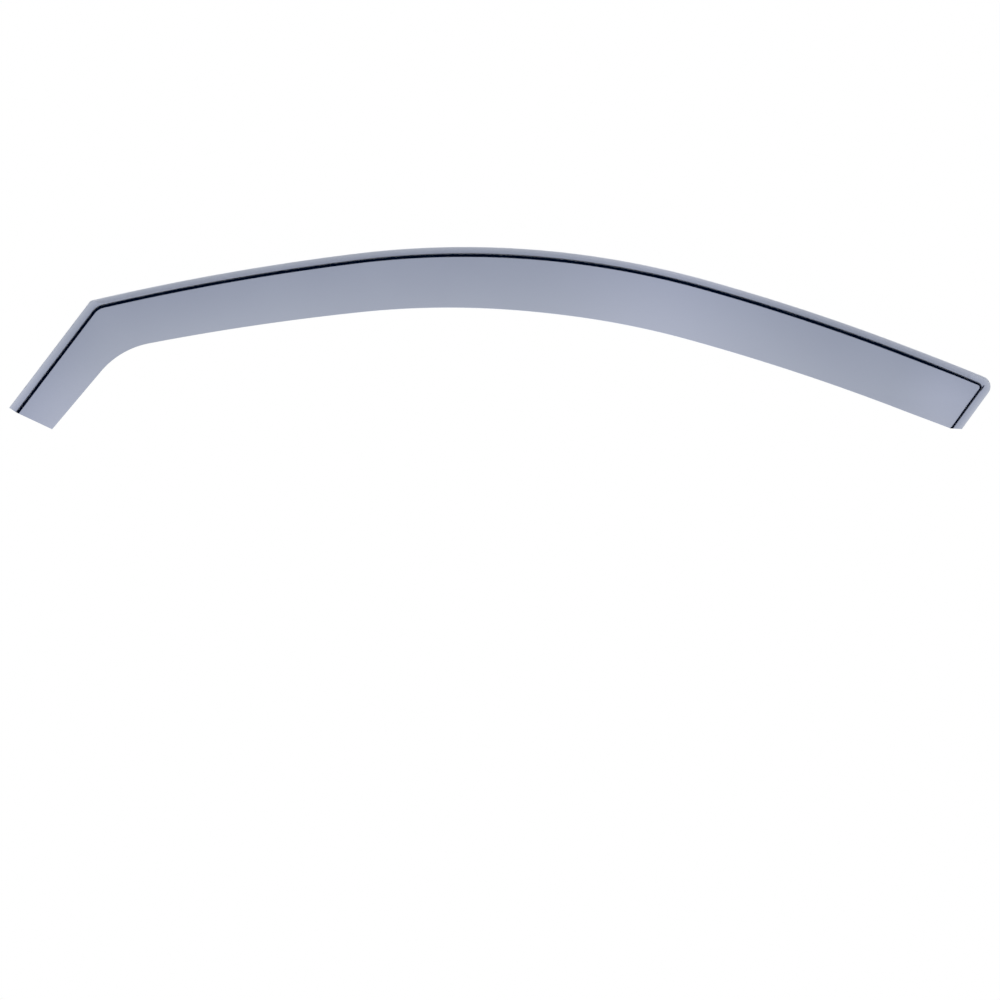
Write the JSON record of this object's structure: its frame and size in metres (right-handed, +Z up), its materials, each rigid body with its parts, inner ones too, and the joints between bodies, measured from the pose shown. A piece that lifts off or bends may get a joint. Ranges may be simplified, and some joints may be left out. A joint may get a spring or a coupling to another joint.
{
  "type": "window rain deflector",
  "caption": "Smoke-tinted acrylic rain deflector for a front door window, with a channel flange, a stepped shoulder and an overhanging visor.",
  "frame": {"origin": "on the flange's inner face at the crown of the shoulder line, where the flange enters the window channel", "axes": "+X rearwards along the door, +Z up into the window channel, -Y outwards from the car"},
  "size_m": [0.943, 0.0389, 0.1751],
  "materials": {
    "smoked_acrylic": "clear smoke-tinted acrylic, polished on both faces"
  },
  "bodies": {
    "root": {"deflector": "smoked_acrylic"}
  },
  "joints": []
}
